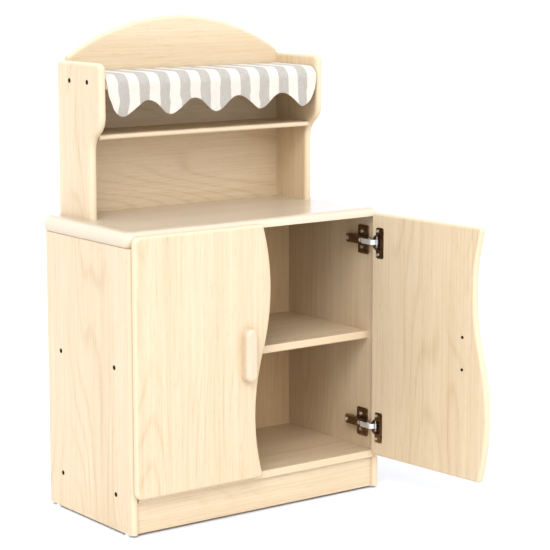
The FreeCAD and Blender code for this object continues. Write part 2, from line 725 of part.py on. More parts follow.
def make_rack(found):
    for side in SIDE_NAMES:
        rack_side(side, found)
    body = new_body("rack_back_board")
    sketch = sketch_on(body, "XZ_Plane", -S.base_depth)
    corners = rectangle((-RACK_INSIDE, S.worktop_top), (RACK_INSIDE, S.arch_end))
    outline(sketch, corners, {2: (S.arch_top - S.arch_end, 1)})
    pad(body, sketch, S.panel)
    arch_foot = S.arch_end.value - 1
    round_edges(body, S.bullnose, lambda edge: edge.BoundBox.ZMin > arch_foot and is_long(edge, "x"))
    tools = both_sides(found, "rack_back") + found["rack_back_foot"]
    node(cut("rack_back_cut", body, tools), "hutch_back")
    shelf = shelf_board(
        "rack_shelf_board", S.rack_shelf_front, BACK_FACE, S.rack_shelf_top, S.rack_shelf_thick,
        RACK_INSIDE, S.rack_shelf_round,
    )
    node(cut("rack_shelf_cut", shelf, both_sides(found, "rack_shelf")), "hutch_shelf")
    low = (-RACK_INSIDE, S.canopy_front, S.canopy_top - S.canopy_thick)
    canopy = board("canopy_plain_board", low, (RACK_INSIDE, BACK_FACE, S.canopy_top))
    front, top = S.canopy_front.value, S.canopy_top.value
    round_edges(canopy, S.canopy_round, lambda edge: lies_at(edge, y=front, z=top))
    node(cut("canopy_cut", canopy, both_sides(found, "canopy_holes")), "awning_board")


# ---------------------------------------------------------------- awning cloth

def make_awning():
    """The cloth over the board: flat on top, round over the front, hanging to a scalloped hem."""
    for name, level in (("awning_hook_strip", 0), ("awning_loop_strip", 1)):
        thick = S.cloth_gap / 2
        low = S.canopy_top + thick * level
        back = S.cloth_back - S.strip_inset
        half = S.strip_length / 2
        node(board(name + "_body", (-half, back - S.strip_width, low), (half, back, low + thick)), name)
    body = new_body("awning_cloth_body")
    sketch = sketch_on(body, "YZ_Plane", -S.cloth_width / 2)
    under = S.canopy_top + S.cloth_gap
    over = under + S.cloth_thick
    rear = S.canopy_front - S.cloth_gap
    front = rear - S.cloth_thick
    hem = S.hem_level - S.hem_rise
    roll = S.canopy_round + S.cloth_gap
    outer_roll = roll + S.cloth_thick
    corner_rise = 1 - math.sqrt(0.5)
    corners = [
        (S.cloth_back, over), (front + outer_roll, over), (front, over - outer_roll), (front, hem),
        (rear, hem), (rear, under - roll), (rear + roll, under), (S.cloth_back, under),
    ]
    outline(sketch, corners, {1: (outer_roll * corner_rise, 1), 5: (roll * corner_rise, -1)})
    pad(body, sketch, S.cloth_width)
    cut_scallops(body)
    node(body, "awning_cloth")


def hem_crossings():
    """Where the hem crosses its mean level, from left to right: each lobe's two sides."""
    count = int(S.lobes.value)
    half = S.lobe_width / 2
    centres = [S.hem_shift + S.lobe_pitch * (index - (count - 1) / 2) for index in range(count)]
    return [(centre + half * side, S.hem_level) for centre in centres for side in (-1, 1)]


def cut_scallops(body):
    """Cut the hem to lobes that hang below its mean level, with broader arches between them."""
    crossings = hem_crossings()
    edge = S.cloth_width / 2 + 1
    below = S.hem_level - S.hem_rise - 1
    corner = S.hem_level + S.hem_corner
    corners = [(-edge, corner)] + crossings + [(edge, corner), (edge, below), (-edge, below)]
    bulges = {1 + index: (S.hem_rise, 1 if index % 2 == 0 else -1) for index in range(len(crossings) - 1)}
    bulges[0] = bulges[len(crossings)] = (S.hem_corner_bulge, 1)
    sketch = sketch_on(body, "XZ_Plane", S.canopy_round - S.canopy_front)
    outline(sketch, corners, bulges)
    pocket(body, sketch, S.canopy_round * 2)


# ---------------------------------------------------------------- doors and handles

def make_door(side):
    """A door, its handle and the screws that hold it, all drawn closed."""
    word = SIDE_NAMES[side]
    hinge_edge = (HALF_BASE - S.door_inset) * side
    meeting = S.wave_centre + S.wave_gap / 2 * side
    corners = [
        (hinge_edge, S.door_low), (meeting, S.door_low), (meeting, DOOR_MIDDLE),
        (meeting, S.door_high), (hinge_edge, S.door_high),
    ]
    body = new_body(f"{word}_door_board")
    sketch = sketch_on(body, "XZ_Plane", S.door_gap)
    outline(sketch, corners, {1: (S.wave_rise, -1), 2: (S.wave_rise, 1)})
    pad(body, sketch, S.panel)
    ends = (S.door_low.value, S.door_high.value)
    edge_x = hinge_edge.value
    tip_x = meeting.value
    round_edges(body, S.door_corner, lambda e: any(lies_at(e, x=edge_x, z=end) for end in ends))
    round_edges(body, S.door_tip, lambda e: any(lies_at(e, x=tip_x, z=end) for end in ends))
    faces = (-S.door_gap.value, -(S.door_gap + S.panel).value)
    round_edges(body, S.door_round, lambda e: any(lies_at(e, y=face) for face in faces))
    screws, screw_holes = handle_screws(side)
    holes = screw_holes + cup_holes(side)
    node(cut(f"{word}_door_cut", body, holes), f"{word}_door", REST_DOOR_POSE[side])
    node(group(f"{word}_handle_screw_group", screws), f"{word}_handle_screws", REST_DOOR_POSE[side])
    node(cut(f"{word}_handle_cut", handle(side), screw_holes), f"{word}_handle", REST_DOOR_POSE[side])


def cup_holes(side):
    """The holes in a door for its two hinge cups and their screws."""
    holes = []
    centre = (HALF_BASE - S.door_inset - S.cup_place) * side
    for level, height in LEVELS.items():
        name = f"{SIDE_NAMES[side]}_{level}_cup"
        face = (centre, -S.door_gap, height)
        holes.append(rod(name + "_hole", S.cup_radius, S.cup_depth, face, -Y_AXIS))
        for end in (-1, 1):
            place = moved(face, Z_AXIS, S.cup_screw_pitch / 2 * end)
            depth = S.cup_screw_length - S.flange_thick
            holes.append(rod(f"{name}_screw_hole_{end + 1}", S.cup_screw, depth, place, -Y_AXIS))
    return holes


def handle(side):
    """A wooden pull: an upright block with round ends and a rounded front."""
    body = new_body(f"{SIDE_NAMES[side]}_handle_block")
    sketch = sketch_on(body, "XZ_Plane", S.door_gap + S.panel)
    centre = S.handle_place * side
    half = S.handle_width / 2
    reach = S.handle_length / 2
    corners = rectangle((centre - half, DOOR_MIDDLE - reach), (centre + half, DOOR_MIDDLE + reach))
    outline(sketch, corners)
    pad(body, sketch, S.handle_depth)
    round_edges(body, S.handle_corner, lambda edge: is_long(edge, "y"))
    front = -(S.door_gap + S.panel + S.handle_depth).value
    round_edges(body, S.handle_round, lambda edge: lies_at(edge, y=front))
    return body


def handle_screws(side):
    """Two screws from the door's inner face into the handle, and the holes for them."""
    screws = []
    holes = []
    for end in (-1, 1):
        name = f"{SIDE_NAMES[side]}_handle_screw_{end + 1}"
        height = DOOR_MIDDLE + S.handle_screw_pitch / 2 * end
        start = (S.handle_place * side, -S.door_gap, height)
        whole, screw = pan_screw(
            name, start, -Y_AXIS, S.handle_screw, S.handle_screw_length, S.handle_screw_head
        )
        holes.append(whole)
        screws.append(screw)
    return screws, holes


# ---------------------------------------------------------------- concealed hinges

def hinge_plate(name):
    """Mounting plate, drawn for the left side: X is the distance from the cupboard's side."""
    body = new_body(name)
    sketch = sketch_on(body, "YZ_Plane", 0)
    half = S.plate_height / 2
    outline(sketch, rectangle((S.plate_front, -half), (S.plate_front + S.plate_depth, half)))
    pad(body, sketch, S.plate_thick)
    round_edges(body, S.plate_corner, lambda edge: is_long(edge, "x"))
    tongue = sketch_on(body, "YZ_Plane", 0)
    width = S.tongue_width / 2
    outline(tongue, rectangle((S.tongue_front, -width), (S.tongue_end, width)))
    pad(body, tongue, S.plate_thick)
    face = S.plate_thick.value
    round_edges(body, S.plate_edge, lambda edge: lies_at(edge, x=face))
    holes = sketch_on(body, "YZ_Plane", S.plate_thick)
    for end in (-1, 1):
        circle(holes, (S.plate_screw_place, S.plate_screw_pitch / 2 * end), S.plate_screw)
        circle(holes, (S.plate_spare_place, S.plate_spare_pitch / 2 * end), S.plate_spare_hole)
    circle(holes, (S.arm_screw_back, 0), S.arm_screw)
    pocket(body, holes, S.plate_thick)
    return body


def plate_screw(name, end):
    """A screw of the mounting plate and the solid for its hole, in the plate's frame."""
    start = (S.plate_thick, S.plate_screw_place, S.plate_screw_pitch / 2 * end)
    return pan_screw(name, start, -X_AXIS, S.plate_screw, S.plate_screw_length)


def hinge_arm(name):
    """Arm on the plate, drawn for the left side: a channel that ends in two cheeks round its pin."""
    pin = (S.arm_pin_out, S.arm_pin_back)
    nose = S.arm_nose
    low = -S.arm_width / 2
    shoulder = S.arm_pin_back + nose * 2
    body = new_body(name)
    sketch = sketch_on(body, "XY_Plane", low)
    outline(sketch, [
        (S.plate_thick, S.arm_foot), (S.plate_thick, S.arm_end), (S.arm_rise - S.arm_step, S.arm_end),
        (S.arm_rise, S.arm_end - S.arm_taper), (S.arm_rise, shoulder), (nose + pin[0], pin[1]),
        (pin[0] - nose, pin[1]), (pin[0] - nose, shoulder),
    ])
    pad(body, sketch, S.arm_width)
    round_nose = sketch_on(body, "XY_Plane", low)
    circle(round_nose, pin, nose)
    pad(body, round_nose, S.arm_width)
    channel = sketch_on(body, "XY_Plane", S.arm_channel / 2)
    inner = S.arm_rise - S.arm_web
    outline(channel, [
        (0, -1), (S.arm_rise + 1, -1), (S.arm_rise + 1, shoulder - S.arm_web), (inner, shoulder),
        (inner, S.arm_channel_end), (0, S.arm_channel_end),
    ])
    pocket(body, channel, S.arm_channel)
    fork = sketch_on(body, "YZ_Plane", S.arm_rise + 1)
    slot = S.arm_screw + 0.1
    outline(fork, rectangle((S.arm_end - S.fork_depth, -slot), (S.arm_end + 1, slot)))
    pocket(body, fork, S.arm_rise)
    bore = sketch_on(body, "XY_Plane", S.arm_width)
    circle(bore, pin, S.pin_radius)
    pocket(body, bore, S.arm_width * 2)
    screw_hole = sketch_on(body, "YZ_Plane", S.arm_rise + 1)
    circle(screw_hole, (S.arm_screw_front, 0), S.arm_screw)
    pocket(body, screw_hole, S.arm_web + 2)
    return body


def arm_screw(name, place, low_end):
    """A screw of the arm: its head on the arm, its end so far above the cupboard's side."""
    start = (S.arm_rise, place, 0)
    _, screw = pan_screw(name, start, -X_AXIS, S.arm_screw, S.arm_rise - low_end)
    return screw


def hinge_cup(name):
    """Cup with its flange; X runs from the cup's centre away from the door's hinge edge, -Y inward."""
    body = new_body(name)
    flange = sketch_on(body, "XZ_Plane", -S.flange_thick)
    half = S.ear_height / 2
    outline(flange, rectangle((S.ear_front, -half), (S.ear_back, half)))
    pad(body, flange, S.flange_thick)
    thick = S.flange_thick.value
    round_edges(body, S.plate_corner, lambda edge: abs(edge.BoundBox.YLength - thick) < 0.01)
    disc = sketch_on(body, "XZ_Plane", -S.flange_thick)
    circle(disc, (0, 0), S.flange_radius)
    pad(body, disc, S.flange_thick)
    wall = sketch_on(body, "XZ_Plane", -S.flange_thick)
    circle(wall, (0, 0), S.cup_radius)
    pad(body, wall, S.flange_thick + S.cup_depth)
    hollow = sketch_on(body, "XZ_Plane", S.cup_depth - S.cup_floor)
    circle(hollow, (0, 0), S.cup_bore)
    pocket(body, hollow, S.cup_depth + S.flange_thick)
    holes = sketch_on(body, "XZ_Plane", 1)
    for end in (-1, 1):
        circle(holes, (0, S.cup_screw_pitch / 2 * end), S.cup_screw)
    pocket(body, holes, S.flange_thick + 2)
    return body


def cup_screw(name, end):
    """A screw of the cup, in the cup's frame."""
    start = (0, S.flange_thick, S.cup_screw_pitch / 2 * end)
    _, screw = pan_screw(name, start, -Y_AXIS, S.cup_screw, S.cup_screw_length)
    return screw


def bend_point(reach, radius):
    """Where the link's straight part meets its bend, on a curve of the bend's centre."""
    slope = math.radians(S.link_slope.value)
    return (reach / 2 - radius * math.sin(slope), -(radius * math.cos(slope)))


def tail_point(reach, radius):
    """The end of the straight part that is tangent to the same curve."""
    joint = bend_point(reach, radius)
    drop = (joint[0] + S.link_tail) * math.tan(math.radians(S.link_slope.value))
    return (-S.link_tail, joint[1] + drop)


def hinge_link(name):
    """Link: a plate bent to a J between two eyes; X runs from the arm's pin to the cup's."""
    body = new_body(name)
    low = -S.link_width / 2
    outward, forward = link_span()
    reach = square_root(outward * outward + forward * forward)
    outer = S.link_bend + S.link_thick / 2
    inner = S.link_bend - S.link_thick / 2
    band = sketch_on(body, "XY_Plane", low)
    outline(
        band,
        [
            tail_point(reach, outer), bend_point(reach, outer), (reach / 2 + outer, 0),
            (reach / 2 + inner, 0), bend_point(reach, inner), tail_point(reach, inner),
        ],
        {1: (bend_rise(outer), 1), 3: (bend_rise(inner), -1)},
    )
    pad(body, band, S.link_width)
    rib = sketch_on(body, "XY_Plane", low)
    depth = -bend_point(reach, S.link_bend)[1] * 0.8
    outline(rib, rectangle((-S.link_thick / 2, -depth), (S.link_thick / 2, 0)))
    pad(body, rib, S.link_width)
    for centre in (as_size(0), reach):
        eye = sketch_on(body, "XY_Plane", low)
        circle(eye, (centre, 0), S.link_eye)
        pad(body, eye, S.link_width)
    bores = sketch_on(body, "XY_Plane", S.link_width / 2)
    for centre in (as_size(0), reach):
        circle(bores, (centre, 0), S.pin_radius + S.pin_clearance)
    pocket(body, bores, S.link_width)
    return body


def bend_rise(radius):
    """How far the bend rises from the chord between its two ends."""
    half_turn = math.radians(90 + S.link_slope.value) / 2
    return radius * (1 - math.cos(half_turn))


def make_hinges():
    """Two concealed hinges on each side, with their pins and screws in groups."""
    plate_screws = []
    plate_holes = {-1: [], 1: []}
    arm_screws = []
    arm_pins = []
    for side, word in SIDE_NAMES.items():
        screws = []
        pins = []
        for level, height in LEVELS.items():
            name = f"{word}_{level}"
            frame = at(INSIDE * side, 0, height, side_rotation(side))
            make_hinge_mount(name, frame, plate_screws, plate_holes[side])
            arm_screws += make_hinge_arm(name, frame)
            arm_pins.append(pin_rod(name + "_arm_pin", arm_pin(side), height, S.arm_width))
            make_hinge_moving(name, side, height, screws)
            pins.append(pin_rod(name + "_cup_pin", cup_pin(side), height, S.cup_pin_length))
        node(group(f"{word}_cup_screw_group", screws), f"{word}_cup_screws", REST_DOOR_POSE[side])
        node(group(f"{word}_cup_pin_group", pins), f"{word}_cup_pins", REST_DOOR_POSE[side])
    node(group("plate_screw_group", plate_screws), "mounting_plate_screws")
    node(group("arm_pin_group", arm_pins), "hinge_arm_pins")
    node(group("arm_screw_group", arm_screws), "hinge_arm_screws")
    return plate_holes


def pin_rod(name, place, height, length):
    """An upright pin, half above and half below a hinge's middle."""
    start = (place[0], place[1], height - length / 2)
    return rod(name, S.pin_radius, length, start, Z_AXIS)


def make_hinge_mount(name, frame, plate_screws, holes):
    plate = hinge_plate(name + "_plate_body")
    plate.Placement = frame
    node(plate, name + "_mounting_plate")
    for end in (-1, 1):
        whole, screw = plate_screw(f"{name}_plate_screw_{end + 1}", end)
        plate_screws.append(placed(screw, frame))
        holes.append(placed(whole, frame))


def make_hinge_arm(name, frame):
    """Place one arm and give back its two screws."""
    arm = hinge_arm(name + "_arm_body")
    arm.Placement = frame
    node(arm, name + "_hinge_arm")
    adjusting = arm_screw(name + "_front_arm_screw", S.arm_screw_front, S.plate_thick)
    fixing = arm_screw(name + "_back_arm_screw", S.arm_screw_back, 0)
    return [placed(adjusting, frame), placed(fixing, frame)]


def make_hinge_moving(name, side, height, screws):
    centre = (HALF_BASE - S.door_inset - S.cup_place) * side
    frame = at(centre, -S.door_gap, height, side_rotation(side))
    cup = cut(name + "_cup_cut", hinge_cup(name + "_cup_body"), [cup_pin_hole(name)])
    cup.Placement = frame
    node(cup, name + "_hinge_cup", REST_DOOR_POSE[side])
    for end in (-1, 1):
        screws.append(placed(cup_screw(f"{name}_cup_screw_{end + 1}", end), frame))
    link = hinge_link(name + "_link_body")
    across, forward, _ = arm_pin(side)
    flip = FreeCAD.Rotation(X_AXIS, 0 if side > 0 else 180)
    outward, ahead = link_span()
    heading = math.degrees(math.atan2(-ahead.value, outward.value * side))
    turn = FreeCAD.Rotation(Z_AXIS, heading).multiply(flip)
    link.Placement = at(across, forward, height, turn)
    node(link, name + "_hinge_link", REST_LINK_POSE[side])


def cup_pin_hole(name):
    """The hole for the cup's pin, in the cup's frame."""
    place = (S.cup_pin_place - S.cup_place, -S.cup_pin_depth, -S.cup_pin_length / 2)
    return rod(name + "_cup_pin_hole", S.pin_radius, S.cup_pin_length, place, Z_AXIS)


# ---------------------------------------------------------------- the whole

def all_dowels(found):
    keys = ("plinth", "base_back", "worktop_side")
    base = [dowel for key in keys for dowel in both_sides(found, key)] + found["worktop_back"]
    keys = ("rack_back", "rack_foot")
    rack = [dowel for key in keys for dowel in both_sides(found, key)] + found["rack_back_foot"]
    return base, rack


def build():
    found = make_fasteners()
    plate_holes = make_hinges()
    make_cupboard(found, plate_holes)
    make_rack(found)
    make_awning()
    for side in SIDE_NAMES:
        make_door(side)
    base_dowels, rack_dowels = all_dowels(found)
    node(group("base_dowel_group", base_dowels), "base_dowels")
    node(group("rack_dowel_group", rack_dowels), "hutch_dowels")
    node(group("rack_shelf_dowel_group", both_sides(found, "rack_shelf")), "hutch_shelf_dowels")
    node(group("base_screw_group", found["base_screws"]), "base_side_screws")
    node(group("canopy_screw_group", found["canopy_screws"]), "awning_board_screws")
    node(group("glide_group", found["glides"]), "glides")
    DOC.recompute()


def check():
    """Stop if any feature failed or any sub-part has no sound shape."""
    for item in DOC.Objects:
        if "Invalid" in item.State or "Error" in item.State:
            raise RuntimeError(f"{item.Name} failed: {item.State}")
    for item in NODES:
        if item.Shape.isNull() or not item.Shape.isValid():
            raise RuntimeError(f"{item.Label} has no valid shape")


def export():
    os.makedirs("parts", exist_ok=True)
    for item in NODES:
        item.Shape.exportStep(f"parts/{item.Label}.step")


build()
check()
export()
print(len(NODES), "sub-parts written")
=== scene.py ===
"""The looks of the toy kitchen dresser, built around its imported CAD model.

Everything is in metres, in the CAD model's frame: +Z up, -Y is the front.
"""

import math

import bmesh
import bpy
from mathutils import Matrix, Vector, noise


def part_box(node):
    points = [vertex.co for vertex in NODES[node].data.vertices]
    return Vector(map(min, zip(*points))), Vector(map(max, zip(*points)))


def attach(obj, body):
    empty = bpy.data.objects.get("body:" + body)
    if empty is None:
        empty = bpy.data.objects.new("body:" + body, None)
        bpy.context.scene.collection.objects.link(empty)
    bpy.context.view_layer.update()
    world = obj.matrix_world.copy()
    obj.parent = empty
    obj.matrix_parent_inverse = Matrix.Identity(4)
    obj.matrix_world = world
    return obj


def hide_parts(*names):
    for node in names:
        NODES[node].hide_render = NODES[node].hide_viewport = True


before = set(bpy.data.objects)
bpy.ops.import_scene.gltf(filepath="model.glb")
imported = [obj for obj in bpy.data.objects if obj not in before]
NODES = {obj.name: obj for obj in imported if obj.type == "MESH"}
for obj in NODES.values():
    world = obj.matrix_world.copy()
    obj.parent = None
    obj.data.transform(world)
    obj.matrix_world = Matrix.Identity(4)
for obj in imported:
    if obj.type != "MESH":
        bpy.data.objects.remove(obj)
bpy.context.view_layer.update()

MM = 0.001


# ---------------------------------------------------------------- places read from the frame

WORKTOP_LOW, WORKTOP_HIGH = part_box("worktop")
SIDE_LOW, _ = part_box("base_left_side")
CLOTH_LOW, CLOTH_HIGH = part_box("awning_cloth")
MIDDLE_X = (WORKTOP_LOW.x + WORKTOP_HIGH.x) / 2
FRONT_Y = SIDE_LOW.y


# ---------------------------------------------------------------- node helpers

class Nodes:
    """A material's node tree, with short calls to add and link nodes."""

    def __init__(self, name):
        self.material = bpy.data.materials.new(name)
        self.material.use_nodes = True
        self.tree = self.material.node_tree
        self.shader = self.tree.nodes["Principled BSDF"]

    def add(self, kind, inputs=None, **settings):
        node = self.tree.nodes.new(kind)
        for key, value in settings.items():
            setattr(node, key, value)
        for key, value in (inputs or {}).items():
            self.put(node.inputs[key], value)
        return node

    def put(self, socket, value):
        if isinstance(value, bpy.types.NodeSocket):
            self.tree.links.new(value, socket)
        else:
            socket.default_value = value

    def math(self, operation, *values):
        node = self.add("ShaderNodeMath", operation=operation)
        for socket, value in zip(node.inputs, values):
            self.put(socket, value)
        return node.outputs[0]

    def noise(self, vector, scale, detail=2.0, roughness=0.5):
        inputs = {"Vector": vector, "Scale": scale, "Detail": detail, "Roughness": roughness}
        return self.add("ShaderNodeTexNoise", inputs).outputs["Fac"]

    def ramp(self, value, *stops):
        """Colour ramp with (place, colour) stops."""
        node = self.add("ShaderNodeValToRGB", {"Fac": value})
        elements = node.color_ramp.elements
        while len(elements) < len(stops):
            elements.new(0.5)
        for element, (place, colour) in zip(elements, stops):
            element.position = place
            element.color = (*colour, 1.0)
        return node.outputs["Color"]

    def step(self, value, low, high):
        """0 below low, 1 above high, and a smooth rise between them."""
        node = self.add("ShaderNodeMapRange", {"Value": value}, interpolation_type="SMOOTHSTEP")
        self.put(node.inputs["From Min"], low)
        self.put(node.inputs["From Max"], high)
        return node.outputs["Result"]

    def scaled(self, vector, scale, location=(0, 0, 0)):
        node = self.add("ShaderNodeMapping", {"Vector": vector, "Scale": scale, "Location": location})
        return node.outputs["Vector"]

    def mixed(self, share, first, second):
        node = self.add("ShaderNodeMix", data_type="RGBA", blend_type="MIX")
        for socket, value in zip((node.inputs[0], node.inputs[6], node.inputs[7]), (share, first, second)):
            self.put(socket, (*value, 1.0) if isinstance(value, tuple) else value)
        return node.outputs[2]

    def bump(self, height, strength, distance):
        node = self.add("ShaderNodeBump", {"Height": height, "Strength": strength, "Distance": distance})
        self.put(self.shader.inputs["Normal"], node.outputs["Normal"])

    def set(self, **values):
        for key, value in values.items():
            value = (*value, 1.0) if isinstance(value, tuple) else value
            self.put(self.shader.inputs[key.replace("_", " ")], value)
        return self.material


def grey(value):
    return (value, value, value)


def paint(node, material):
    """Give a CAD node one material."""
    slots = NODES[node].data.materials
    if not slots:
        slots.append(material)
    for index in range(len(slots)):
        slots[index] = material


# ---------------------------------------------------------------- wood

AXES = "xyz"

# Light, dark and edge-band colours of each kind of wood. The worktop's edge tone is lighter than its faces:
# partly an edge band, partly a painted highlight on its rounded edges.
# The cupboard's back is painted a deeper, more orange tone of the laminate than the other boards: painted
# shade of the dim interior on what is the same laminate.
LAMINATE = ((0.700, 0.572, 0.392), (0.566, 0.424, 0.252), (0.690, 0.550, 0.365))
SHADED_BACK_TONES = ((0.722, 0.555, 0.335), (0.585, 0.412, 0.220), (0.690, 0.550, 0.365))
WORKTOP = ((0.562, 0.476, 0.347), (0.500, 0.413, 0.293), (0.660, 0.550, 0.400))
HANDLE = ((0.660, 0.545, 0.395), (0.600, 0.480, 0.330), (0.660, 0.545, 0.395))
BEECH = ((0.560, 0.400, 0.240), (0.440, 0.290, 0.160), (0.560, 0.400, 0.240))


def stretch(grain, share):
    """Mapping scale that draws a pattern out along the grain axis."""
    return tuple(share if axis == grain else 1.0 for axis in AXES)


def face_mask(n, normal, axis):
    """1 on a board's two faces and 0 round its edges, from the normal in the board's own space."""
    parts = n.add("ShaderNodeSeparateXYZ", {"Vector": normal})
    return n.step(n.math("ABSOLUTE", parts.outputs[AXES.index(axis)]), 0.72, 0.97)


def wood(name, grain, face, seed, tones, roughness=0.45):
    """Flat-sawn wood: fine fibres, short pores and thin arched growth lines along the grain axis."""
    light, dark, edge = tones
    n = Nodes(name)
    coordinates = n.add("ShaderNodeTexCoord")
    place = n.scaled(coordinates.outputs["Object"], grey(1.0), (seed * 1.37, seed * 0.73, seed * 2.11))
    fibres = n.noise(n.scaled(place, stretch(grain, 0.014)), 300.0, 4.0, 0.7)
    bands = n.noise(n.scaled(place, stretch(grain, 0.03)), 26.0, 3.0, 0.55)
    pores = n.step(n.noise(n.scaled(place, stretch(grain, 0.05)), 620.0, 2.0, 0.6), 0.60, 0.70)
    swell = n.noise(n.scaled(place, stretch(grain, 0.17)), 4.6, 1.5, 0.4)
    waves = n.math("SINE", n.math("MULTIPLY", swell, 210.0))
    lines = n.math("POWER", n.math("MULTIPLY_ADD", waves, 0.5, 0.5), 5.0)
    patches = n.step(n.noise(n.scaled(place, stretch(grain, 0.3)), 7.0, 1.0), 0.44, 0.62)
    lines = n.math("MULTIPLY", n.math("MULTIPLY", lines, patches), fibres)
    shade = n.math("MULTIPLY_ADD", fibres, 0.62, n.math("MULTIPLY", bands, 0.42))
    shade = n.math("ADD", shade, n.math("MULTIPLY", lines, 0.28))
    shade = n.math("ADD", shade, n.math("MULTIPLY", pores, 0.20))
    figured = n.ramp(shade, (0.38, light), (0.84, dark))
    # Round the edges goes the edge tone, which on the worktop is partly a painted highlight.
    plain = n.mixed(n.math("MULTIPLY", fibres, 0.35), edge, light)
    mask = face_mask(n, coordinates.outputs["Normal"], face) if face else 1.0
    n.bump(n.math("SUBTRACT", fibres, pores), 0.06, 0.0003)
    n.put(n.shader.inputs["Roughness"], n.math("MULTIPLY_ADD", fibres, 0.14, roughness - 0.07))
    return n.set(Base_Color=n.mixed(mask, plain, figured), Specular_IOR_Level=0.38)


def paint_wood():
    """Each board with its grain axis and the axis across its faces."""
    boards = {
        "base_left_side": "zx", "base_right_side": "zx", "left_door": "zy", "right_door": "zx",
        "hutch_left_side": "zx", "hutch_right_side": "zx", "base_back": "zy", "hutch_back": "xy",
        "hutch_shelf": "xz", "awning_board": "xz", "base_bottom_shelf": "xz",
        "base_middle_shelf": "xz", "plinth": "xy",
    }
    for seed, (node, (grain, face)) in enumerate(boards.items(), start=1):
        # The cupboard's back takes the deeper tones, as painted shade.
        tones = SHADED_BACK_TONES if node == "base_back" else LAMINATE
        paint(node, wood("maple_" + node, grain, face, seed, tones))
    paint("worktop", wood("maple_worktop", "x", "z", 21, WORKTOP, 0.20))
    for seed, node in enumerate(("left_handle", "right_handle"), start=31):
        paint(node, wood("maple_" + node, "z", None, seed, HANDLE, 0.36))
    for seed, node in enumerate(("base_dowels", "hutch_dowels", "hutch_shelf_dowels"), start=41):
        paint(node, wood("beech_" + node, "x", None, seed, BEECH, 0.6))


# ---------------------------------------------------------------- metals and plastic

def metal(name, colour, roughness, metallic=1.0, worn=0.6):
    """Pressed and plated metal: slightly uneven colour and gloss, with fine scratches."""
    n = Nodes(name)
    place = n.add("ShaderNodeTexCoord").outputs["Object"]
    cloud = n.noise(place, 240.0, 4.0, 0.6)
    scratch = n.noise(n.scaled(place, (1.0, 1.0, 0.05)), 2400.0, 2.0)
    darker = tuple(channel * worn for channel in colour)
    n.bump(scratch, 0.05, 0.0002)
    n.put(n.shader.inputs["Roughness"], n.math("MULTIPLY_ADD", cloud, 0.15, roughness))
    return n.set(Base_Color=n.ramp(cloud, (0.35, darker), (0.60, colour)), Metallic=metallic)


def nylon(name):
    """Pale moulded nylon with a fine matt skin."""
    n = Nodes(name)
    place = n.add("ShaderNodeTexCoord").outputs["Object"]
    speck = n.noise(place, 900.0, 2.0)
    n.bump(speck, 0.1, 0.0002)
    return n.set(Base_Color=n.ramp(speck, (0.3, grey(0.66)), (0.7, grey(0.76))), Roughness=0.55)


def tape(name):
    """Woven hook and loop tape, with its fine tufts in rows."""
    n = Nodes(name)
    place = n.add("ShaderNodeTexCoord").outputs["Object"]
    tufts = n.add("ShaderNodeTexVoronoi", {"Vector": place, "Scale": 700.0}).outputs["Distance"]
    n.bump(tufts, 0.6, 0.0006)
    colour = n.ramp(tufts, (0.1, (0.74, 0.71, 0.64)), (0.6, (0.60, 0.57, 0.50)))
    return n.set(Base_Color=colour, Roughness=0.95)


def paint_hardware():
    bronze = metal("bronze_plate", (0.40, 0.285, 0.17), 0.27, worn=0.42)
    nickel = metal("nickel_plate", (0.83, 0.79, 0.74), 0.34, metallic=0.55, worn=0.9)
    zinc = metal("zinc_plate", (0.86, 0.82, 0.76), 0.26, metallic=0.75, worn=0.7)
    oxide = metal("dark_oxide", (0.10, 0.085, 0.07), 0.42)
    for node in NODES:
        if node.endswith(("_mounting_plate", "_hinge_arm", "_hinge_cup")):
            paint(node, bronze)
        elif node.endswith(("_hinge_link", "_pins")):
            paint(node, nickel)
        elif node in ("base_side_screws", "awning_board_screws") or node.endswith("_handle_screws"):
            paint(node, oxide)
        elif node.endswith("_screws"):
            paint(node, zinc)
    paint("glides", nylon("glide_nylon"))
    for node in ("awning_hook_strip", "awning_loop_strip"):
        paint(node, tape("tape_" + node))


# ---------------------------------------------------------------- awning cloth

BANDS = 21
LOBES = 5
LOBE_PITCH = 106.6 * MM
LOBE_HALF = 24 * MM
HEM_SHIFT = 2 * MM
HEM_LEVEL = 795 * MM
HEM_RISE = 14.5 * MM
HEM_CORNER = 55 * MM
SEAM = 6 * MM
STITCH_PITCH = 2.6 * MM
STITCH_HALF_WIDTH = 0.5 * MM
THREAD_PITCH = 0.7 * MM
CLOTH_THICKNESS = 0.9 * MM
ROLL_RADIUS = 23 * MM
STANDOFF = 0.6 * MM
PUCKER_HEIGHT = 1.5 * MM
FLUTE_HEIGHT = 2.2 * MM
RIPPLE_HEIGHT = 2.4 * MM
SWAY = 4.6 * MM
FREE_HANG = 60 * MM
CROWDING = 0.85
GRID_COLUMNS = 420
GRID_ROWS = 90


def stitch_height(n, from_hem, across):
    """A dashed row of stitches in a shallow groove, parallel to the hem."""
    away = n.math("ABSOLUTE", n.math("SUBTRACT", from_hem, SEAM))
    groove = n.step(away, 0.0, 1.1 * MM)
    dash = n.math("SINE", n.math("MULTIPLY", across, 2 * math.pi / STITCH_PITCH))
    beside = n.step(away, 0.15 * MM, STITCH_HALF_WIDTH)
    thread = n.math("MULTIPLY", n.step(dash, -0.4, 0.2), n.math("SUBTRACT", 1.0, beside))
    return n.math("MULTIPLY_ADD", thread, 1.3, groove)


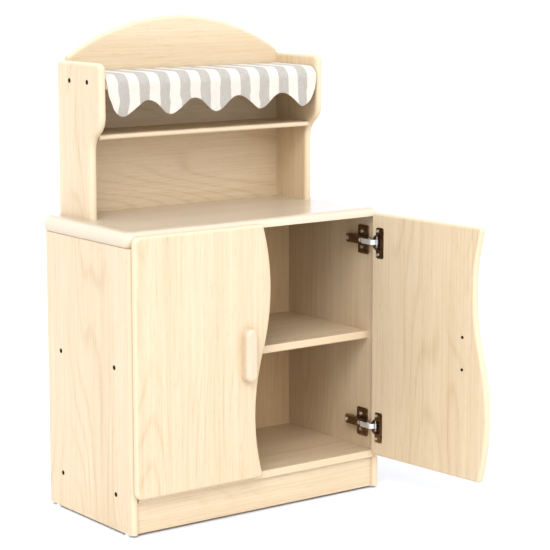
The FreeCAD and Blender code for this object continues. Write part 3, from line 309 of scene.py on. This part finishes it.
def cloth_material(name, band_width):
    """Plain-weave cotton, striped along its length, from UV maps that hold metres on the flat cloth."""
    n = Nodes(name)
    flat = n.add("ShaderNodeUVMap", uv_map="flat").outputs["UV"]
    split = n.add("ShaderNodeSeparateXYZ", {"Vector": flat})
    across, along = split.outputs["X"], split.outputs["Y"]
    hem = n.add("ShaderNodeSeparateXYZ", {"Vector": n.add("ShaderNodeUVMap", uv_map="hem").outputs["UV"]})
    frayed = n.noise(n.scaled(flat, (0.3, 1.0, 1.0)), 1400.0, 2.0)
    shifted = n.math("MULTIPLY_ADD", n.math("SUBTRACT", frayed, 0.5), 0.0009, across)
    phase = n.math("FRACT", n.math("DIVIDE", shifted, band_width * 2))
    stripe = n.step(phase, 0.492, 0.508)
    warp = n.math("SINE", n.math("MULTIPLY", across, 2 * math.pi / THREAD_PITCH))
    weft = n.math("SINE", n.math("MULTIPLY", along, 2 * math.pi / THREAD_PITCH))
    weave = n.math("MULTIPLY", warp, weft)
    slub = n.noise(n.scaled(flat, (1.0, 0.05, 1.0)), 1500.0, 3.0, 0.65)
    slub_across = n.noise(n.scaled(flat, (0.05, 1.0, 1.0)), 1500.0, 3.0, 0.65)
    slubs = n.math("MULTIPLY", n.math("ADD", slub, slub_across), 0.5)
    white = n.ramp(slubs, (0.36, (0.630, 0.572, 0.468)), (0.64, (0.720, 0.658, 0.545)))
    warm_grey = n.ramp(slubs, (0.36, (0.390, 0.350, 0.286)), (0.64, (0.545, 0.495, 0.410)))
    height = n.math("MULTIPLY_ADD", slubs, 1.2, n.math("MULTIPLY", weave, 0.4))
    height = n.math("ADD", height, stitch_height(n, hem.outputs["Y"], hem.outputs["X"]))
    n.bump(height, 0.5, 0.0005)
    return n.set(
        Base_Color=n.mixed(stripe, white, warm_grey), Roughness=0.92, Sheen_Weight=0.15, Sheen_Roughness=0.5,
        Specular_IOR_Level=0.2,
    )


def drift(x, y, size, seed):
    """Smooth noise between about -1 and 1, with features of the given size."""
    return noise.noise(Vector((x / size, y / size, seed * 3.7)))


class Awning:
    """The cloth's shape: a point for each place on the flat cloth."""

    width = CLOTH_HIGH.x - CLOTH_LOW.x
    top = CLOTH_HIGH.z - STANDOFF
    back = CLOTH_HIGH.y
    front = CLOTH_LOW.y + STANDOFF
    roll = ROLL_RADIUS

    def flat_top(self):
        return self.back - self.front - self.roll

    def roll_length(self):
        return self.roll * math.pi / 2

    def hem(self, across):
        """Height of the hem, which is lowest at the middle of each lobe and arched between them."""
        place = (across - self.width / 2 - HEM_SHIFT) / LOBE_PITCH
        outermost = LOBES // 2
        if abs(place) > outermost:
            return self.corner(across, abs(place) - outermost)
        share = abs(place - round(place)) * 2
        # The phase passes a quarter turn at the side of the lobe, which is narrower than the arch.
        side = LOBE_HALF * 2 / LOBE_PITCH
        lead = (0.5 - side * side) / (side - side * side)
        phase = math.pi * (lead * share + (1 - lead) * share * share)
        return HEM_LEVEL - HEM_RISE * math.cos(phase)

    def corner(self, across, beyond):
        """Height of the cloth's rounded lower corner, a quarter of an ellipse past the last lobe's tip."""
        room = beyond * LOBE_PITCH + min(across, self.width - across)
        fall = math.sqrt(max(0.0, 1 - (beyond * LOBE_PITCH / room) ** 2))
        return HEM_LEVEL + HEM_CORNER - (HEM_CORNER + HEM_RISE) * fall

    def length(self, across):
        """Length of the cloth at a place across it, from its back edge to its hem."""
        return self.flat_top() + self.roll_length() + self.top - self.roll - self.hem(across)

    def smooth_point(self, across, along):
        """Place on the plain bent sheet, and the way out of the sheet there."""
        x = CLOTH_LOW.x + across
        rolled = along - self.flat_top()
        if rolled <= 0:
            return Vector((x, self.back - along, self.top)), Vector((0, 0, 1))
        if rolled < self.roll_length():
            angle = rolled / self.roll
            out = Vector((0, -math.sin(angle), math.cos(angle)))
            return Vector((x, self.front + self.roll, self.top - self.roll)) + out * self.roll, out
        drop = rolled - self.roll_length()
        return Vector((x, self.front, self.top - self.roll - drop)), Vector((0, -1, 0))

    def point(self, across, along):
        """Place of a point of the cloth: the bent sheet with its puckers, ripples and flutes."""
        place, out = self.smooth_point(across, along)
        free = max(0.0, along - self.flat_top() - self.roll_length()) / FREE_HANG
        hanging = min(1.0, free)
        pucker = 0.5 + 0.5 * drift(across, along, 34 * MM, 1)
        flute = math.sin(across / LOBE_PITCH * 4 * math.pi + 1.3 * drift(across, 0, 120 * MM, 2))
        flute = flute * FLUTE_HEIGHT + drift(across, along * 0.4, 24 * MM, 3) * RIPPLE_HEIGHT
        back_edge = max(0.0, 1 - along / (22 * MM))
        place += out * (pucker * PUCKER_HEIGHT * (1 - hanging) + flute * hanging + 1.2 * MM * hanging)
        sway = drift(across * 0.35, along, 24 * MM, 4) * SWAY * min(1.0, hanging * 2 + 0.12)
        edge_room = min(1.0, across / (12 * MM), (self.width - across) / (12 * MM))
        place.x += sway * edge_room
        place.y -= back_edge * (0.5 + 0.5 * drift(across, 0, 40 * MM, 5)) * 3.5 * MM
        return place


def awning_grid(form, shape, columns, rows):
    """Faces of the cloth, with UV maps of the flat cloth and of the way to the hem."""
    flat = form.loops.layers.uv.new("flat")
    hem = form.loops.layers.uv.new("hem")
    places = {}
    grid = []
    for column in range(columns + 1):
        turn = 2 * math.pi * column / columns
        # Columns are closest at the two side edges, where the corners are steep.
        across = shape.width * (turn - CROWDING * math.sin(turn)) / (2 * math.pi)
        length = shape.length(across)
        line = []
        for row in range(rows + 1):
            along = length * row / rows
            vertex = form.verts.new(shape.point(across, along))
            places[vertex] = (across, along, min(length - along, across, shape.width - across))
            line.append(vertex)
        grid.append(line)
    for left, right in zip(grid, grid[1:]):
        for row in range(rows):
            face = form.faces.new((left[row], right[row], right[row + 1], left[row + 1]))
            face.smooth = True
            for loop in face.loops:
                across, along, from_hem = places[loop.vert]
                loop[flat].uv = (across, along)
                loop[hem].uv = (across + along, from_hem)


def build_awning():
    shape = Awning()
    mesh = bpy.data.meshes.new("awning_cloth_sheet")
    form = bmesh.new()
    awning_grid(form, shape, GRID_COLUMNS, GRID_ROWS)
    form.normal_update()
    form.to_mesh(mesh)
    form.free()
    piece = bpy.data.objects.new("awning_cloth_sheet", mesh)
    bpy.context.scene.collection.objects.link(piece)
    piece.data.materials.append(cloth_material("awning_cotton", shape.width / BANDS))
    thick = piece.modifiers.new("thickness", "SOLIDIFY")
    thick.thickness = CLOTH_THICKNESS
    thick.offset = 0.0
    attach(piece, "cabinet")
    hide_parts("awning_cloth")


# ---------------------------------------------------------------- studio

CAMERA_PLACE = Vector((-2.207245, -3.023768, 1.103760))
CAMERA_TURN = math.radians(36.787)
CAMERA_DIP = math.radians(9.306)
CAMERA_LENS = 128.55
CAMERA_SENSOR = 36.0
CAMERA_SHIFT = (-0.01489, -0.01511)
DAYLIGHT = (1.0, 1.05, 1.18)
SKY_STRENGTH = 1.35
DISPLAY_GAMMA = 0.82
FLOOR_RADIUS = 30.0


def add_camera():
    data = bpy.data.cameras.new("camera")
    data.lens = CAMERA_LENS
    data.sensor_width = CAMERA_SENSOR
    data.shift_x, data.shift_y = CAMERA_SHIFT
    camera = bpy.data.objects.new("camera", data)
    camera.location = CAMERA_PLACE + Vector((MIDDLE_X, FRONT_Y, 0))
    camera.rotation_euler = (math.pi / 2 - CAMERA_DIP, 0, -CAMERA_TURN)
    bpy.context.scene.collection.objects.link(camera)
    bpy.context.scene.camera = camera


def add_sun(name, azimuth, height, strength, softness):
    """A soft, even light from far away; azimuth 0 is in front, and negative is to the left."""
    data = bpy.data.lights.new(name, "SUN")
    data.energy = strength
    data.angle = math.radians(softness)
    data.color = tuple(channel / max(DAYLIGHT) for channel in DAYLIGHT)
    light = bpy.data.objects.new(name, data)
    turn, tilt = math.radians(azimuth), math.radians(height)
    towards = Vector((math.sin(turn) * math.cos(tilt), -math.cos(turn) * math.cos(tilt), math.sin(tilt)))
    light.rotation_euler = towards.to_track_quat("Z", "Y").to_euler()
    bpy.context.scene.collection.objects.link(light)


def add_floor():
    mesh = bpy.data.meshes.new("floor")
    form = bmesh.new()
    bmesh.ops.create_circle(form, cap_ends=True, radius=FLOOR_RADIUS, segments=96)
    form.to_mesh(mesh)
    form.free()
    floor = bpy.data.objects.new("floor", mesh)
    n = Nodes("floor_paint")
    place = n.add("ShaderNodeTexCoord").outputs["Object"]
    cloud = n.noise(place, 3.0, 2.0)
    colour = n.ramp(cloud, (0.0, grey(0.80)), (1.0, grey(0.82)))
    n.set(Base_Color=colour, Roughness=0.9, Specular_IOR_Level=0.1)
    floor.data.materials.append(n.material)
    bpy.context.scene.collection.objects.link(floor)


def add_studio():
    world = bpy.data.worlds.new("studio")
    world.use_nodes = True
    background = world.node_tree.nodes["Background"]
    background.inputs["Color"].default_value = (*DAYLIGHT, 1.0)
    background.inputs["Strength"].default_value = SKY_STRENGTH
    bpy.context.scene.world = world
    bpy.context.scene.view_settings.view_transform = "Standard"
    bpy.context.scene.view_settings.gamma = DISPLAY_GAMMA
    add_sun("key", -46, 42, 1.3, 28)
    add_sun("fill", -12, 30, 0.55, 40)
    add_floor()


paint_wood()
paint_hardware()
build_awning()
add_camera()
add_studio()
